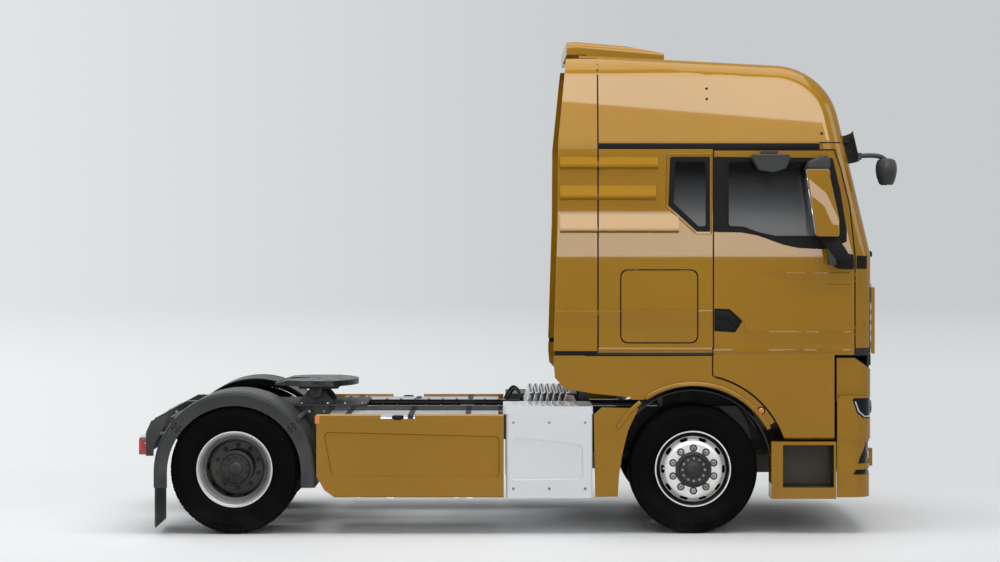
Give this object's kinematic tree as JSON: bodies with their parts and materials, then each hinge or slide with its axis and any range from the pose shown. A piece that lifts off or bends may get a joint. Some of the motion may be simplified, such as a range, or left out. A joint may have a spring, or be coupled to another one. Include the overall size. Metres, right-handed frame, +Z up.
{
  "type": "semi truck tractor unit",
  "caption": "Two-axle cab-over tractor unit with a high-roof sleeper cab, side deflectors, chassis fairings, twin rear wheels and a fifth-wheel coupling.",
  "frame": {"origin": "on the ground, under the middle of the vehicle's box", "axes": "+X forward, +Y to the vehicle's left, +Z up"},
  "size_m": [5.963, 3, 3.884],
  "materials": {
    "gold_paint": "metallic gold paint",
    "dark_plastic": "grained",
    "grey_plastic": "grained",
    "white_paint": "satin",
    "chassis_paint": "satin",
    "cast_metal": "rough",
    "aluminium": "brushed",
    "wheel_silver": "satin",
    "tyre": "matt",
    "glass": "tinted",
    "lamp_glass": "clear",
    "cloth": "woven"
  },
  "bodies": {
    "chassis": {"frame": "chassis_paint", "engine": "cast_metal", "propeller_shaft": "chassis_paint", "front_axle": "chassis_paint", "rear_axle": "chassis_paint", "suspension": "chassis_paint", "cab_supports": "chassis_paint", "bumper": "gold_paint", "bumper_corners": "gold_paint", "lamps": "lamp_glass", "entry_steps": "gold_paint", "arch_liners": "dark_plastic", "side_fairings": "gold_paint", "fuel_tanks": "aluminium", "silencer_box": "white_paint", "battery_box": "grey_plastic", "catwalk": "aluminium", "coupling_base": "cast_metal", "rear_mudguards": "grey_plastic", "tail_beam": "chassis_paint"},
    "cab": {"cab_floor": "dark_plastic", "cab_rear_wall": "gold_paint", "cab_roof": "gold_paint", "cab_front": "gold_paint", "cab_sides": "gold_paint", "cab_glass": "glass", "side_deflectors": "gold_paint", "roof_spoiler": "gold_paint", "sun_visor": "dark_plastic", "cab_wings": "gold_paint", "lower_grille": "dark_plastic", "front_mirror": "dark_plastic", "dashboard": "grey_plastic", "steering_wheel": "dark_plastic", "seats": "cloth", "bunk": "cloth"},
    "door_right": {"door_right": "gold_paint", "door_skirt_right": "gold_paint", "door_glass_right": "glass", "door_mirror_right": "gold_paint"},
    "locker_lid_right": {"locker_lid_right": "gold_paint"},
    "knuckle_right": {"knuckle_right": "cast_metal"},
    "front_wheel_right": {"front_wheel_right": "wheel_silver", "front_tyre_right": "tyre"},
    "rear_wheels_right": {"rear_wheels_right": "wheel_silver", "rear_tyres_right": "tyre"},
    "door_left": {"door_left": "gold_paint", "door_skirt_left": "gold_paint", "door_glass_left": "glass", "door_mirror_left": "gold_paint"},
    "locker_lid_left": {"locker_lid_left": "gold_paint"},
    "knuckle_left": {"knuckle_left": "cast_metal"},
    "front_wheel_left": {"front_wheel_left": "wheel_silver", "front_tyre_left": "tyre"},
    "rear_wheels_left": {"rear_wheels_left": "wheel_silver", "rear_tyres_left": "tyre"},
    "front_flap": {"front_flap": "gold_paint"},
    "coupling_plate": {"coupling_plate": "cast_metal"}
  },
  "joints": [
    {"name": "cab_tilt", "type": "hinge", "parent": "chassis", "child": "cab", "pos_m": [2.74, 0, 0.95], "axis": [0, 1, 0], "range_deg": [0, 60]},
    {"name": "front_flap_lift", "type": "hinge", "parent": "cab", "child": "front_flap", "pos_m": [2.856, 0, 1.941], "axis": [0, -1, 0], "range_deg": [0, 85]},
    {"name": "coupling_pitch", "type": "hinge", "parent": "chassis", "child": "coupling_plate", "pos_m": [-1.655, 0, 1.06], "axis": [0, 1, 0], "range_deg": [-10, 10]},
    {"name": "door_left_swing", "type": "hinge", "parent": "cab", "child": "door_left", "pos_m": [2.6365, 1.219, 2.2], "axis": [0, 0, -1], "range_deg": [0, 85]},
    {"name": "locker_left_lift", "type": "hinge", "parent": "cab", "child": "locker_lid_left", "pos_m": [1.102, 1.22, 2.0695], "axis": [1, 0, 0], "range_deg": [0, 80]},
    {"name": "steering_left", "type": "hinge", "parent": "chassis", "child": "knuckle_left", "pos_m": [1.37, 0.9, 0.507], "axis": [0, 0, 1], "range_deg": [-40, 40]},
    {"name": "front_left_spin", "type": "hinge", "parent": "knuckle_left", "child": "front_wheel_left", "pos_m": [1.37, 1.04, 0.507], "axis": [0, 1, 0], "continuous": true},
    {"name": "rear_left_spin", "type": "hinge", "parent": "chassis", "child": "rear_wheels_left", "pos_m": [-2.23, 0.91, 0.507], "axis": [0, 1, 0], "continuous": true},
    {"name": "door_right_swing", "type": "hinge", "parent": "cab", "child": "door_right", "pos_m": [2.6365, -1.219, 2.2], "axis": [0, 0, 1], "range_deg": [0, 85]},
    {"name": "locker_right_lift", "type": "hinge", "parent": "cab", "child": "locker_lid_right", "pos_m": [1.102, -1.22, 2.0695], "axis": [-1, 0, 0], "range_deg": [0, 80]},
    {"name": "steering_right", "type": "hinge", "parent": "chassis", "child": "knuckle_right", "pos_m": [1.37, -0.9, 0.507], "axis": [0, 0, 1], "range_deg": [-40, 40]},
    {"name": "front_right_spin", "type": "hinge", "parent": "knuckle_right", "child": "front_wheel_right", "pos_m": [1.37, -1.04, 0.507], "axis": [0, 1, 0], "continuous": true},
    {"name": "rear_right_spin", "type": "hinge", "parent": "chassis", "child": "rear_wheels_right", "pos_m": [-2.23, -0.91, 0.507], "axis": [0, 1, 0], "continuous": true}
  ],
  "couplings": [
    {"joint": "steering_right", "follows": "steering_left", "ratio": 1}
  ]
}
